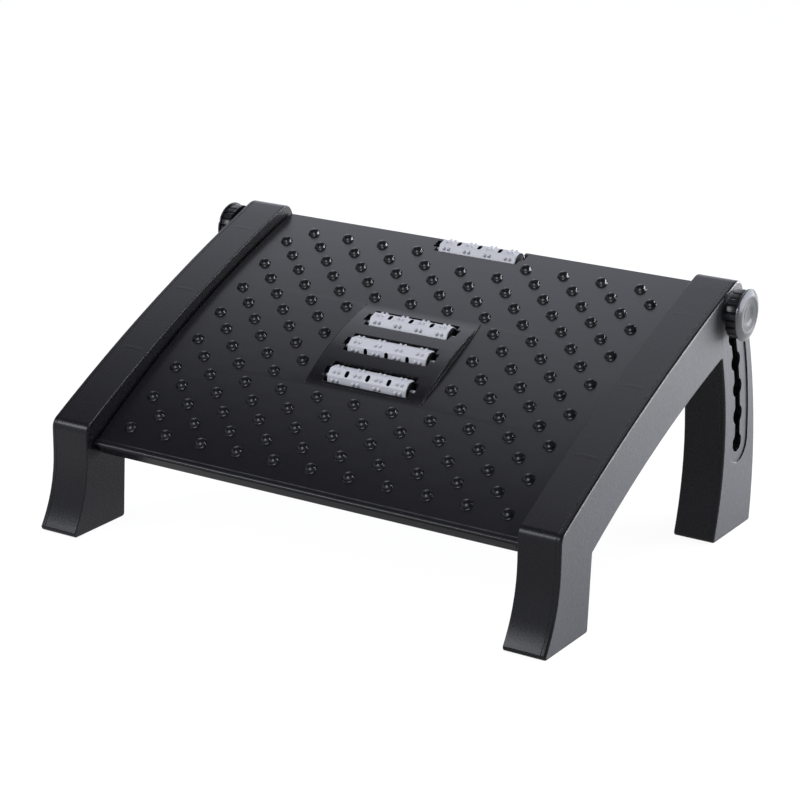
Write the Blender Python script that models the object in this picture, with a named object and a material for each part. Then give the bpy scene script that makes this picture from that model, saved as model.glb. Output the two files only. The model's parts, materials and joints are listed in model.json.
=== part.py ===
"""A tilting foot rest: a domed, arched tread with four massage rollers between two arched side frames.

Metres, +Z up. X runs to the right and Y to the rear. The origin is on the floor, midway between the
two side frames and midway between the front of the front feet and the bulge of the rear legs.
The tread is held at the highest of its six tilts, with both clamping knobs slackened.
"""

import math

import bmesh
import bpy
from mathutils import Matrix, Vector

# Overall size
frame_span = 0.450  # across the outer faces of the two side frames
frame_depth = 0.3355  # front of the front feet to the bulge of the rear legs
frame_width = 0.0344  # each side frame, inner face to outer face

# Side frame outline: a reach is a distance behind the front of the front foot
pad_stand = 0.0008  # the rubber pads hold the feet this far off the floor
front_foot_length = 0.0637
rear_foot_length = 0.0662
heel_reach = 0.3339
leg_setback = 0.0195  # the front leg's front edge stands this far behind its toe
knee_drop = 0.0236  # from the rail's front corner down to the end of the front leg's curve
toe_curve_rise = 0.0051
rail_front_height = 0.0856
rail_rear_height = 0.2105
rail_overhang = 0.0157  # the rail's rear corner lies this far behind the bolts at the highest tilt
rail_curve_rise = 0.0069
heel_curve_rise = 0.0155
front_leg_taper = 0.0032
arch_front_drop = 0.0254
arch_rear_drop = 0.0595
arch_lead = 0.0106  # the arch's rear corner lies this far in front of the same bolts
arch_top_rise = 0.0067
arch_rear_rise = 0.0118
knee_radius = 0.0095
rail_end_radius = 0.0112
foot_corner_radius = 0.0026
arch_corner_radius = 0.001

# Side frame shells
wall = 0.0026
cover_rim = 0.0041  # the outer cover wraps this far round the edge
seam = 0.0003
edge_chamfer = 0.0006
cover_edge_radius = 0.0018
cover_edge_steps = 4

# Tilt: the tread turns about the pivot, and its clamping bolts ride in arched slots at the rear
pivot_reach = 0.0395
pivot_drop = 0.0171  # below the rail's front corner
leg_margin = 0.0299  # from the clamping bolts' arc back to the heel
bolt_drop = 0.0248  # from the rail's rear corner down to the bolts at the highest tilt
tilt_stations = 6
station_spacing = 0.023174  # along the bolts' arc
slot_neck = 0.0086
notch_radius = 0.0078
track_half_width = 0.0164  # of the sunk track round the slot
track_depth = 0.0012
channel_wall = 0.002

# Tread, an arc seen from the side
tread_gap = 0.002  # between the tread and each side frame
tread_lean = math.radians(0.57)  # the middle slopes this much less than the line from pivot to bolts
tread_middle_share = 0.52132  # along that line
tread_middle_rise = 0.01673  # above that line
tread_radius_share = 4.2072
tread_half_length_share = 0.56333
skin = 0.0026
side_skirt_depth = 0.018
front_skirt_depth = 0.0084
rear_skirt_depth = 0.010
skirt_taper = 0.011
lip_height = 0.0012
lip_width = 0.0062
corner_radius = 0.005
rib_thickness = 0.0018
rib_depth = 0.010
long_rib_shares = (-0.663, -0.329, 0.329, 0.663)
cross_rib_shares = (-0.671, -0.403, 0.416, 0.725)

# Domes
dome_rows = 16
dome_counts = (10, 11)  # in every other row
dome_row_share = 0.11255
dome_column_share = 0.17784
dome_radius = 0.0043
dome_height = 0.003
dome_shoulder_share = 0.62
dome_shoulder_radius_share = 0.76
dome_sink = 0.0004
dome_sides = 6
dome_margin = 0.0015

# Raised island that carries three rollers
island_half_width = 0.0522
island_front = -0.0482
island_rear = 0.0496
island_height = 0.0046

# Rollers
roller_radius = 0.009
roller_half_length = 0.0354
roller_sides = 16
roller_chamfer = 0.0012
roller_depth = 0.0055  # the axis lies this far below the surface round its window
roller_pitch = 0.0322
island_roller_middle = -0.0003
edge_roller_margin = 0.008  # from the rear roller's axis to the tread's rear edge
stub_radius = 0.0025
stub_half_span = 0.0414
nub_rows = 8
nub_groups = 4
nub_group_pitch = 0.0189
nub_spacing = 0.0041
nub_width = 0.0023
nub_height = 0.0013
nub_sink = 0.0005
slot_width = 0.0018
slot_length = 0.0032
slot_depth = 0.0025

# Roller windows and the open-topped saddles at their ends
window_half_length = 0.038
window_half_width = 0.0101
saddle_width = 0.0026
saddle_half_length = 0.0065
saddle_floor = 0.0025
end_slot_half_width = 0.0045
throat_lean = math.radians(38)  # the bore closes in above the stub by this much, to hold it

# Pivot pins and clamping bolts
clearance = 0.0003
pin_radius = 0.004
boss_radius = 0.007
boss_length = 0.0146
frame_boss_length = 0.0118
bolt_radius = 0.0039
bolt_head_width = 0.010
bolt_head_height = 0.0055
block_length = 0.0186
block_half_width = 0.009

# Clamping knobs, each with a keyed collar that drops into a notch of the slot
knob_stand = 0.0036  # between the slackened knob and the outer face of the frame
knob_radius = 0.0187
knob_length = 0.0086
knob_flutes = 20
flute_depth = 0.0008
flute_floor_share = 0.3
flute_side_share = 0.1
knob_wall = 0.0027
knob_web = 0.0025
hub_radius = 0.008
collar_travel = 0.003
collar_radius = 0.012
collar_flange = 0.0013
key_clearance = 0.0006
key_stand = 0.0004
cap_radius = 0.020
cap_rim = 0.0011
cap_crown = 0.0022
cap_dish_radius = 0.0138
cap_dish_depth = 0.0016
cap_dish_floor_share = 0.4
cap_lip_length = 0.002
cap_lip_wall = 0.0012

# Rubber pads and cover screws
pad_thickness = 0.0022
pad_inset = 0.006
post_radius = 0.0042
tube_radius = 0.0054
screw_radius = 0.0016
screw_head_radius = 0.0034
screw_head_height = 0.0022
screw_crown_share = 0.8
screw_crown_height = 0.0009
screw_length = 0.0165
screw_sink = 0.0058  # the head lies this far inside the inner face
rail_screw_shares = (0.14, 0.44, 0.76)  # along the rail, midway between the arch and its top
rail_screw_lift = 0.0034
foot_screw_height = 0.024

# Facets
round_sides = 12
small_sides = 8
boss_sides = 16
cap_sides = 20
smooth_limit = math.radians(35)
toe_steps = 8
rail_steps = 12
heel_steps = 12

# Worked out from the sizes above
half_span = frame_span / 2
inner_face = half_span - frame_width
tread_half_width = inner_face - tread_gap
inner_wall_face = inner_face + wall
inside_wall = inner_face + wall / 2
beyond_inner = inner_face - wall
shell_edge = half_span - cover_rim - seam
cover_inside = half_span - wall
inside_cover = half_span - wall / 2
beyond_outer = half_span + wall
foot_front = -frame_depth / 2
pivot = Vector((foot_front + pivot_reach, rail_front_height - pivot_drop))
slot_radius = heel_reach - pivot_reach - leg_margin
bolt_rise = rail_rear_height - bolt_drop - pivot.y
top_station = math.asin(bolt_rise / slot_radius)  # the bolts' angle above the pivot at the highest tilt
station_pitch = station_spacing / slot_radius
bolt_place = pivot + slot_radius * Vector((math.cos(top_station), math.sin(top_station)))
bolt_reach = bolt_place.x - foot_front
tread_slope = top_station - tread_lean
tread_radius = tread_radius_share * slot_radius
tread_half_length = tread_half_length_share * slot_radius
edge_roller_place = tread_half_length - edge_roller_margin
dome_row_pitch = dome_row_share * tread_half_length
dome_column_pitch = dome_column_share * tread_half_width
slot_half = slot_neck / 2
boss_face = inner_face - clearance
bolt_start = tread_half_width - block_length
pin_hole = pin_radius + clearance
bolt_hole = bolt_radius + clearance
screw_seat = inner_face + screw_sink + screw_head_height
knob_start = half_span + knob_stand

# Materials: name, colour, roughness, metallic
charcoal = ("charcoal_plastic", (0.045, 0.045, 0.05), 0.42, 0.0)
tread_grey = ("tread_plastic", (0.05, 0.05, 0.055), 0.34, 0.0)
cool_grey = ("roller_plastic", (0.62, 0.63, 0.66), 0.5, 0.0)
knob_black = ("knob_plastic", (0.02, 0.02, 0.022), 0.25, 0.0)
silver = ("silver_paint", (0.6, 0.6, 0.62), 0.35, 0.8)
steel = ("zinc_steel", (0.55, 0.55, 0.56), 0.35, 1.0)
rubber = ("pad_rubber", (0.02, 0.02, 0.02), 0.8, 0.0)


# Flat outlines, as lists of points


def turned(vector, angle):
    cosine = math.cos(angle)
    sine = math.sin(angle)
    return Vector((vector.x * cosine - vector.y * sine, vector.x * sine + vector.y * cosine))


def arc(start, end, rise, steps):
    """Points after start up to end, on the arc that bulges by rise to the left of the way there."""
    half = (end - start) / 2
    left = Vector((-half.y, half.x)).normalized()
    radius = (half.length_squared + rise * rise) / (2 * rise)
    centre = start + half + left * (rise - radius)
    sweep = -2 * math.asin(half.length / radius)
    spoke = start - centre
    return [centre + turned(spoke, sweep * step / steps) for step in range(1, steps + 1)]


def circle(centre, radius, sides, start=0.0, sweep=math.tau):
    """Points round a circle, or round a part of it with both of its ends."""
    count = sides if sweep == math.tau else sides + 1
    spoke = Vector((radius, 0.0))
    return [centre + turned(spoke, start + sweep * step / sides) for step in range(count)]


def hexagon(centre, across_flats):
    return circle(centre, across_flats / math.sqrt(3.0), 6)


def rounded(points, radii, steps=5):
    """The outline with the corners that have a radius rounded off."""
    outline = []
    for i, point in enumerate(points):
        radius = radii.get(i, 0.0)
        if not radius:
            outline.append(point)
            continue
        back = (points[i - 1] - point).normalized()
        ahead = (points[(i + 1) % len(points)] - point).normalized()
        half_angle = math.acos(back.dot(ahead)) / 2
        tangent = radius / math.tan(half_angle)
        centre = point + (back + ahead).normalized() * (radius / math.sin(half_angle))
        first = point + back * tangent - centre
        last = point + ahead * tangent - centre
        sweep = math.atan2(first.x * last.y - first.y * last.x, first.dot(last))
        outline += [centre + turned(first, sweep * step / steps) for step in range(steps + 1)]
    return outline


def inset(points, distance):
    """The outline moved inwards by distance, whichever way round it runs."""
    doubled_area = sum(a.x * b.y - a.y * b.x for a, b in zip(points, points[1:] + points[:1]))
    side = math.copysign(1.0, doubled_area)
    moved = []
    for i, point in enumerate(points):
        back = (point - points[i - 1]).normalized()
        ahead = (points[(i + 1) % len(points)] - point).normalized()
        normal_back = Vector((-back.y, back.x)) * side
        normal_ahead = Vector((-ahead.y, ahead.x)) * side
        mitre = (normal_back + normal_ahead).normalized()
        moved.append(point + mitre * (distance / mitre.dot(normal_ahead)))
    return moved


def frame_point(reach, height):
    """A point of the side view, from its distance behind the front of the front foot."""
    return Vector((foot_front + reach, height))


def rail_corners():
    """The rail's top corners, front and rear, and the arch's upper corners below them."""
    return (
        frame_point(leg_setback, rail_front_height),
        frame_point(bolt_reach + rail_overhang, rail_rear_height),
        frame_point(front_foot_length + front_leg_taper, rail_front_height - arch_front_drop),
        frame_point(bolt_reach - arch_lead, rail_rear_height - arch_rear_drop),
    )


def screw_places():
    """The cover screws: three along the rail and one in the rear foot."""
    rail_front, rail_rear, arch_front, arch_rear = rail_corners()
    front = (rail_front + arch_front) / 2
    rear = (rail_rear + arch_rear) / 2
    lift = Vector((0.0, rail_screw_lift))
    places = [front.lerp(rear, share) + lift for share in rail_screw_shares]
    places.append(frame_point(heel_reach - rear_foot_length / 2, foot_screw_height))
    return places


def frame_outline(margin=0.0):
    """The side frame from its side, two feet, an arched rail and the arch, moved in by margin."""
    rail_front, rail_rear, arch_front, arch_rear = rail_corners()
    toe = frame_point(0.0, pad_stand)
    knee = frame_point(leg_setback, rail_front_height - knee_drop)
    heel = frame_point(heel_reach, pad_stand)
    rear_toe = frame_point(heel_reach - rear_foot_length, pad_stand)
    front_heel = frame_point(front_foot_length, pad_stand)
    foot_radius = max(foot_corner_radius - margin, 0.0)
    points = [toe]
    points += arc(toe, knee, -toe_curve_rise, toe_steps)
    radii = {0: foot_radius, len(points): knee_radius - margin}
    points.append(rail_front)
    points += arc(rail_front, rail_rear, rail_curve_rise, rail_steps)
    radii[len(points) - 1] = rail_end_radius - margin
    points += arc(rail_rear, heel, heel_curve_rise, heel_steps)
    radii[len(points) - 1] = foot_radius
    radii[len(points)] = foot_radius
    points.append(rear_toe)
    points += arc(rear_toe, arch_rear, -arch_rear_rise, heel_steps)
    radii[len(points) - 1] = arch_corner_radius + margin
    points += arc(arch_rear, arch_front, -arch_top_rise, rail_steps)
    radii[len(points) - 1] = arch_corner_radius + margin
    radii[len(points)] = foot_radius
    points.append(front_heel)
    return rounded(inset(points, margin), radii)


def station_angle(number):
    """The bolts' angle above the pivot, for the stations from the highest, 0, down."""
    return top_station - number * station_pitch


def on_slot(radius, angle):
    return pivot + turned(Vector((radius, 0.0)), angle)


def band(half_width, steps=10, end_steps=8):
    """A round-ended band along the slot, from the lowest station to the highest."""
    low = station_angle(tilt_stations - 1)
    high = station_angle(0)
    outer = circle(pivot, slot_radius + half_width, steps, low, high - low)
    top = circle(on_slot(slot_radius, high), half_width, end_steps, high, math.pi)
    inner = circle(pivot, slot_radius - half_width, steps, high, low - high)
    bottom = circle(on_slot(slot_radius, low), half_width, end_steps, low + math.pi, math.pi)
    return outer + top[1:-1] + inner + bottom[1:-1]


def notched_slot(steps=4):
    """The slot's outline: a neck that lets the bolt by, with a round notch at each station."""
    reach = math.asin(slot_half / notch_radius)  # from the slot's own direction to where the two meet
    quarter = math.pi / 2
    upwards = range(tilt_stations - 1, -1, -1)
    outline = []
    for side, numbers in ((0.0, upwards), (math.pi, upwards[::-1])):
        for number in numbers:
            middle = on_slot(slot_radius, station_angle(number))
            outward = station_angle(number) + side
            start = outward - quarter + (0.0 if number == numbers[0] else reach)
            end = outward + quarter - (0.0 if number == numbers[-1] else reach)
            points = circle(middle, notch_radius, steps, start, end - start)
            outline += points[:-1] if number == numbers[-1] else points
    return outline


# Solids


def new_object(name, mesh_data):
    obj = bpy.data.objects.new(name, mesh_data)
    bpy.context.scene.collection.objects.link(obj)
    return obj


def finish_mesh(work, name):
    bmesh.ops.recalc_face_normals(work, faces=work.faces)
    mesh_data = bpy.data.meshes.new(name)
    work.to_mesh(mesh_data)
    work.free()
    return mesh_data


def loft(rings, bored=False, name="loft"):
    """A solid through rings of equal count: its last ring meets its first, or each is a flat end."""
    work = bmesh.new()
    loops = [[work.verts.new(point) for point in ring] for ring in rings]
    pairs = list(zip(loops, loops[1:]))
    if bored:
        pairs.append((loops[-1], loops[0]))
    else:
        work.faces.new(loops[0])
        work.faces.new(loops[-1])
    for low, high in pairs:
        for i in range(len(low)):
            work.faces.new((low[i - 1], low[i], high[i], high[i - 1]))
    return new_object(name, finish_mesh(work, name))


def across(outline, x):
    """A side-view outline as a ring of points at one x."""
    return [Vector((x, point.x, point.y)) for point in outline]


def slab(outline, x_start, x_end):
    return loft([across(outline, x_start), across(outline, x_end)])


def rod(centre, radius, x_start, x_end, sides=round_sides):
    return slab(circle(centre, radius, sides), x_start, x_end)


def lathe(profile, centre, sides, bored=False):
    """A solid turned about the X line through centre, from (x, radius) points."""
    return loft([across(circle(centre, radius, sides), x) for x, radius in profile], bored)


def square(half_x, half_y, z):
    return [Vector((half_x * i, half_y * j, z)) for i, j in ((-1, -1), (1, -1), (1, 1), (-1, 1))]


def spike(base, tip):
    """A solid that runs from a base outline to one tip."""
    work = bmesh.new()
    corners = [work.verts.new(point) for point in base]
    apex = work.verts.new(tip)
    work.faces.new(corners)
    for i in range(len(corners)):
        work.faces.new((corners[i - 1], corners[i], apex))
    return new_object("spike", finish_mesh(work, "spike"))


def combine(target, tool, operation):
    """Joins tool to target or cuts it away, and uses the tool up."""
    modifier = target.modifiers.new(operation, "BOOLEAN")
    modifier.operation = operation
    modifier.solver = "EXACT"
    modifier.object = tool
    graph = bpy.context.evaluated_depsgraph_get()
    result = bpy.data.meshes.new_from_object(target.evaluated_get(graph))
    target.modifiers.clear()
    target.data = result
    bpy.data.objects.remove(tool)


def cut(target, *tools):
    for tool in tools:
        combine(target, tool, "DIFFERENCE")


def add(target, *tools):
    for tool in tools:
        combine(target, tool, "UNION")


def moved_copies(shape, places):
    """One object that holds a copy of shape at each place, and uses shape up."""
    work = bmesh.new()
    for place in places:
        before = len(work.verts)
        work.from_mesh(shape.data)
        work.verts.ensure_lookup_table()
        bmesh.ops.transform(work, matrix=place, verts=work.verts[before:])
    mesh_data = bpy.data.meshes.new("copies")
    work.to_mesh(mesh_data)
    work.free()
    bpy.data.objects.remove(shape)
    return new_object("copies", mesh_data)


def surface(recipe):
    name, colour, roughness, metallic = recipe
    material = bpy.data.materials.get(name)
    if material:
        return material
    material = bpy.data.materials.new(name)
    material.use_nodes = True
    shader = material.node_tree.nodes["Principled BSDF"]
    shader.inputs["Base Color"].default_value = (*colour, 1.0)
    shader.inputs["Roughness"].default_value = roughness
    shader.inputs["Metallic"].default_value = metallic
    material.diffuse_color = (*colour, 1.0)
    return material


def finished(obj, name, recipe, origin=None):
    """Gives a finished piece its name, its material, its shading and its origin."""
    obj.name = name
    obj.data.name = name
    obj.data.materials.clear()
    obj.data.materials.append(surface(recipe))
    for polygon in obj.data.polygons:
        polygon.use_smooth = True
    obj.data.set_sharp_from_angle(angle=smooth_limit)
    if origin is not None:
        obj.data.transform(Matrix.Translation(-origin))
        obj.location = origin
    return obj


def add_left_twin(obj):
    """The left-hand twin of a right-hand piece."""
    name = obj.name.replace("_right", "_left")
    mesh_data = obj.data.copy()
    mesh_data.transform(Matrix.Scale(-1.0, 4, Vector((1.0, 0.0, 0.0))))
    mesh_data.flip_normals()
    mesh_data.name = name
    twin = new_object(name, mesh_data)
    twin.location = Vector((-obj.location.x, obj.location.y, obj.location.z))


# Tread coordinates: along runs on the arc towards the rear, lift stands square to it


def tread_centre():
    """The arc's centre in the side view."""
    middle = Vector((tread_middle_share * slot_radius, tread_middle_rise))
    return pivot + turned(middle, top_station) - turned(Vector((0.0, tread_radius)), tread_slope)


def slope_at(along):
    return tread_slope - along / tread_radius


def tread_point(along, lift):
    return tread_centre() + turned(Vector((0.0, tread_radius + lift)), slope_at(along))


def tread_outline(points):
    return [tread_point(along, lift) for along, lift in points]


def tread_place(x, along, lift):
    """Local axes on the tread: X across, Y along it to the rear, Z out of it."""
    point = tread_point(along, lift)
    return Matrix.Translation((x, *point)) @ Matrix.Rotation(slope_at(along), 4, "X")


def bolt_along():
    """The clamping bolts' place along the tread."""
    spoke = bolt_place - tread_centre()
    return (tread_slope - math.atan2(-spoke.x, spoke.y)) * tread_radius


def evenly(start, end, steps):
    return [start + (end - start) * step / steps for step in range(steps + 1)]


def row_lines():
    """Places between the rows of domes, from the rear to the front, where the arc's facets meet."""
    count = dome_rows // 2
    return [number * dome_row_pitch for number in range(count, -count - 1, -1)]


def island_lift(along):
    """The island's height over the arc: a shallow hump that runs out at both ends."""
    middle = (island_front + island_rear) / 2
    share = (along - middle) / (island_rear - middle)
    return island_height * (1 - share * share)


def roller_places():
    """Each roller's name, place along the tread, axis lift, and the nub row that carries slots."""
    places = []
    for name, number, slot_row in (("roller_front", -1, 1), ("roller_middle", 0, 2), ("roller_back", 1, 0)):
        along = island_roller_middle + number * roller_pitch
        places.append((name, along, island_lift(along) - roller_depth, slot_row))
    places.append(("roller_rear_edge", edge_roller_place, -roller_depth, 0))
    return places


def dome_places():
    """The staggered rows of domes, left out where the island and the rear window are."""
    guard = dome_radius + dome_margin
    window_front = edge_roller_place - window_half_width
    places = []
    for row in range(dome_rows):
        along = ((dome_rows - 1) / 2 - row) * dome_row_pitch
        count = dome_counts[row % 2]
        for number in range(count):
            x = (number - (count - 1) / 2) * dome_column_pitch
            beside_island = abs(x) > island_half_width + guard
            beyond_island = not island_front - guard < along < island_rear + guard
            clear_of_window = abs(x) > stub_half_span or along + guard < window_front
            if (beside_island or beyond_island) and clear_of_window:
                places.append((x, along))
    return places


# Side frames


def make_side_frame():
    """The inner shell: one wide wall and the rim round it, open to the outside, with its fittings."""
    outline = frame_outline()
    body = loft([
        across(frame_outline(edge_chamfer), inner_face),
        across(outline, inner_face + edge_chamfer),
        across(outline, shell_edge),
    ])
    cut(body, slab(frame_outline(wall), inner_wall_face, half_span))
    channel_hole = notch_radius + clearance
    channel_end = cover_inside - clearance
    boss_end = inner_wall_face + frame_boss_length
    tube_end = screw_seat + clearance + wall
    places = screw_places()
    add(body, slab(band(channel_hole + channel_wall), inside_wall, channel_end))
    add(body, rod(pivot, boss_radius + clearance, inside_wall, boss_end, boss_sides))
    for place in places:
        add(body, rod(place, tube_radius, inside_wall, tube_end))
    for place in places:
        cut(body, rod(place, screw_head_radius + clearance, beyond_inner, screw_seat + clearance))
        cut(body, rod(place, screw_radius + clearance, beyond_inner, half_span, small_sides))
    cut(body, slab(band(channel_hole), inner_wall_face, half_span))
    cut(body, slab(band(slot_half + clearance, end_steps=6), beyond_inner, half_span))
    cut(body, rod(pivot, pin_hole, beyond_inner, boss_end - wall))
    for start, end in pad_spans():
        cut(body, pad_block(start, end, clearance, pad_thickness + clearance))
    return finished(body, "side_frame_right", charcoal)


def make_side_cover():
    """The outer cover: a plate with a shallow rim, screw posts, the sunk track and the notched slot."""
    rings = [across(frame_outline(), half_span - cover_rim)]
    for step in range(cover_edge_steps + 1):
        angle = math.pi / 2 * step / cover_edge_steps
        margin = cover_edge_radius * (1 - math.cos(angle))
        x = half_span - cover_edge_radius * (1 - math.sin(angle))
        rings.append(across(frame_outline(margin), x))
    body = loft(rings)
    cut(body, slab(frame_outline(wall), inner_face, cover_inside))
    post_start = screw_seat + wall + 2 * clearance
    pilot_end = screw_seat + screw_length + clearance
    for place in screw_places():
        add(body, rod(place, post_radius, post_start, inside_cover))
        cut(body, rod(place, screw_radius + clearance, inner_face, pilot_end, small_sides))
    cut(body, slab(band(track_half_width), half_span - track_depth, beyond_outer))
    cut(body, slab(notched_slot(), inner_face, beyond_outer))
    return finished(body, "side_cover_right", charcoal)


def make_cover_screw(place, name):
    """A pan-head screw, driven from the inner side into a post of the cover."""
    head_start = inner_face + screw_sink
    body = lathe([
        (head_start, screw_head_radius * screw_crown_share),
        (head_start + screw_crown_height, screw_head_radius),
        (screw_seat, screw_head_radius),
        (screw_seat, screw_radius),
        (screw_seat + screw_length, screw_radius),
    ], place, small_sides)
    return finished(body, name, steel)


def pad_spans():
    """Where each pad starts and ends, behind the front of the front foot."""
    return (
        (pad_inset, front_foot_length - pad_inset),
        (heel_reach - rear_foot_length + pad_inset, heel_reach - pad_inset),
    )


def pad_block(start, end, margin, top):
    """A round-cornered pad on the floor, or the seat for one when it has a margin."""
    middle = (inner_face + shell_edge) / 2
    half_width = middle - inner_wall_face - seam + margin
    front = foot_front + start - margin
    rear = foot_front + end + margin
    corners = [
        Vector((middle - half_width, front)),
        Vector((middle + half_width, front)),
        Vector((middle + half_width, rear)),
        Vector((middle - half_width, rear)),
    ]
    outline = rounded(corners, dict.fromkeys(range(4), wall))
    return loft([[Vector((*point, z)) for point in outline] for z in (0.0, top)])


# Tread


def tray_outline():
    """The tread's outline from the side: rear skirt, arched top, front lip and the skirt's lower edge."""
    end = tread_half_length
    lip_crest = lip_width / 2
    lip_shoulder = lip_width / 5
    points = [
        (end - skirt_taper, -side_skirt_depth),
        (end, -rear_skirt_depth),
        (end, -edge_chamfer),
        (end - edge_chamfer, 0.0),
    ]
    points += [(along, 0.0) for along in row_lines()]
    points += [
        (lip_width - end, 0.0),
        (lip_width - lip_shoulder - end, lip_height),
        (lip_crest - end, lip_height),
        (-end, -edge_chamfer),
        (-end, -front_skirt_depth),
        (skirt_taper - end, -side_skirt_depth),
    ]
    low = end - 2 * skirt_taper
    points += [(along, -side_skirt_depth) for along in evenly(-low, low, 6)]
    return tread_outline(points)


def tray_hollow():
    end = tread_half_length - skin
    deep = -2 * side_skirt_depth
    points = [(end, deep), (end, -skin)]
    points += [(along, -skin) for along in row_lines()]
    points += [(-end, -skin), (-end, deep)]
    return tread_outline(points)


def island_outline(drop, bottom, trim):
    """The island's hump, lowered by drop and shortened by trim at both ends."""
    low = island_front + trim
    high = island_rear - trim
    points = [(high, bottom), (low, bottom)]
    points += [(along, island_lift(along) - drop) for along in evenly(low, high, 10)]
    return tread_outline(points)


def window_outline(along, lift):
    """The opening for one roller, seen from the side."""
    low = along - window_half_width
    high = along + window_half_width
    bottom = lift - roller_radius - saddle_floor
    above = lift + roller_depth + island_height
    return tread_outline([(low, bottom), (high, bottom), (high, above), (low, above)])


def saddle_outline(along, lift):
    """The bearing block under one end of a roller."""
    top = lift + roller_depth - skin / 2
    bottom = lift - stub_radius - clearance - saddle_floor
    low = along - saddle_half_length
    high = along + saddle_half_length
    return tread_outline([(low, bottom), (high, bottom), (high, top), (low, top)])


def cradle_outline(along, lift):
    """The cut that a roller's stub snaps into: a bore, its throat, and a wide slot through the skin."""
    bore = stub_radius + clearance
    shelf = lift + roller_depth - skin
    above = lift + roller_depth + island_height
    low = along - end_slot_half_width
    high = along + end_slot_half_width
    points = [(high, shelf), (high, above), (low, above), (low, shelf)]
    sweep = math.pi + 2 * throat_lean
    points += [tuple(point) for point in circle(Vector((along, lift)), bore, 8, math.pi - throat_lean, sweep)]
    return tread_outline(points)


def add_roller_seats(body):
    reach = stub_half_span + clearance
    for _, along, lift, _ in roller_places():
        for side in (-1, 1):
            near = side * (window_half_length - clearance)
            far = side * (reach + saddle_width)
            add(body, slab(saddle_outline(along, lift), near, far))
    for _, along, lift, _ in roller_places():
        cut(body, slab(window_outline(along, lift), -window_half_length, window_half_length))
        cut(body, slab(cradle_outline(along, lift), -reach, reach))


def add_ribs(body):
    underside = -skin / 2
    foot = -skin - rib_depth
    half = rib_thickness / 2
    cross_ribs = [share * tread_half_length for share in cross_rib_shares]
    front = cross_ribs[0]
    rear = cross_ribs[-1]
    side = tread_half_width - skin / 2
    points = [(along, underside) for along in evenly(front, rear, 8)]
    points += [(along, foot) for along in evenly(rear, front, 8)]
    for share in long_rib_shares:
        x = share * tread_half_width
        add(body, slab(tread_outline(points), x - half, x + half))
    for along in cross_ribs:
        low = along - half
        high = along + half
        points = [(low, underside), (low, foot), (high, foot), (high, underside)]
        add(body, slab(tread_outline(points), -side, side))


def add_side_fittings(body):
    """Bosses for the pivot pins at the front, and blocks for the clamping bolts at the rear."""
    low = bolt_along() - block_half_width
    high = bolt_along() + block_half_width
    top = -skin / 2
    bottom = -side_skirt_depth
    block = tread_outline([(low, top), (low, bottom), (high, bottom), (high, top)])
    pocket = hexagon(bolt_place, bolt_head_width + 2 * clearance)
    pocket_end = bolt_start + bolt_head_height + clearance
    inboard = bolt_start - block_length
    for side in (-1, 1):
        boss_start = side * (boss_face - boss_length)
        collar_start = side * (tread_half_width - skin)
        face = side * boss_face
        outboard = side * half_span
        add(body, rod(pivot, boss_radius, boss_start, face, boss_sides))
        add(body, slab(block, side * bolt_start, side * (tread_half_width - skin / 2)))
        add(body, rod(bolt_place, boss_radius, collar_start, face, boss_sides))
        cut(body, rod(pivot, pin_hole, side * inboard, outboard))
        cut(body, rod(bolt_place, bolt_hole, side * inboard, outboard))
        cut(body, slab(pocket, side * inboard, side * pocket_end))


def corner_cutter(side):
    """What rounds off one front corner of the tread, seen from above."""
    corner = Vector((side * tread_half_width, 0.0))
    outward = Vector((side * corner_radius, 0.0))
    forward = Vector((0.0, -corner_radius))
    outline = circle(corner - outward - forward, corner_radius, 4, -math.pi / 2, side * math.pi / 2)
    outline += [corner + outward - forward, corner + outward + forward, corner - outward + forward]
    deep = 2 * side_skirt_depth
    tool = loft([[Vector((*point, z)) for point in outline] for z in (-deep, deep)])
    tool.data.transform(tread_place(0.0, -tread_half_length, 0.0))
    return tool


def make_dome():
    """One low dome, sunk a little into the surface it stands on."""
    shoulder = dome_height * dome_shoulder_share
    shoulder_radius = dome_radius * dome_shoulder_radius_share
    base_radius = dome_radius + (dome_radius - shoulder_radius) * dome_sink / shoulder
    middle = Vector((0.0, 0.0))
    work = bmesh.new()
    base = [work.verts.new((*point, -dome_sink)) for point in circle(middle, base_radius, dome_sides)]
    top = [work.verts.new((*point, shoulder)) for point in circle(middle, shoulder_radius, dome_sides)]
    tip = work.verts.new((0.0, 0.0, dome_height))
    work.faces.new(base)
    for i in range(dome_sides):
        work.faces.new((base[i - 1], base[i], top[i], top[i - 1]))
        work.faces.new((top[i - 1], top[i], tip))
    return new_object("dome", finish_mesh(work, "dome"))


def make_tread():
    """The arched tread: a ribbed tray with domes, the island, four roller windows and their saddles."""
    width = tread_half_width
    body = slab(tray_outline(), -width, width)
    cut(body, slab(tray_hollow(), skin - width, width - skin))
    island = island_outline(0.0, -skin / 2, -edge_chamfer)
    add(body, slab(island, -island_half_width, island_half_width))
    inside = island_half_width - skin
    cut(body, slab(island_outline(skin, -2 * skin, skin), -inside, inside))
    add_ribs(body)
    add_roller_seats(body)
    add_side_fittings(body)
    cut(body, corner_cutter(-1), corner_cutter(1))
    add(body, moved_copies(make_dome(), [tread_place(x, along, 0.0) for x, along in dome_places()]))
    finished(body, "tread", tread_grey, Vector((0.0, *pivot)))


# Rollers, pins, bolts and knobs


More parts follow.
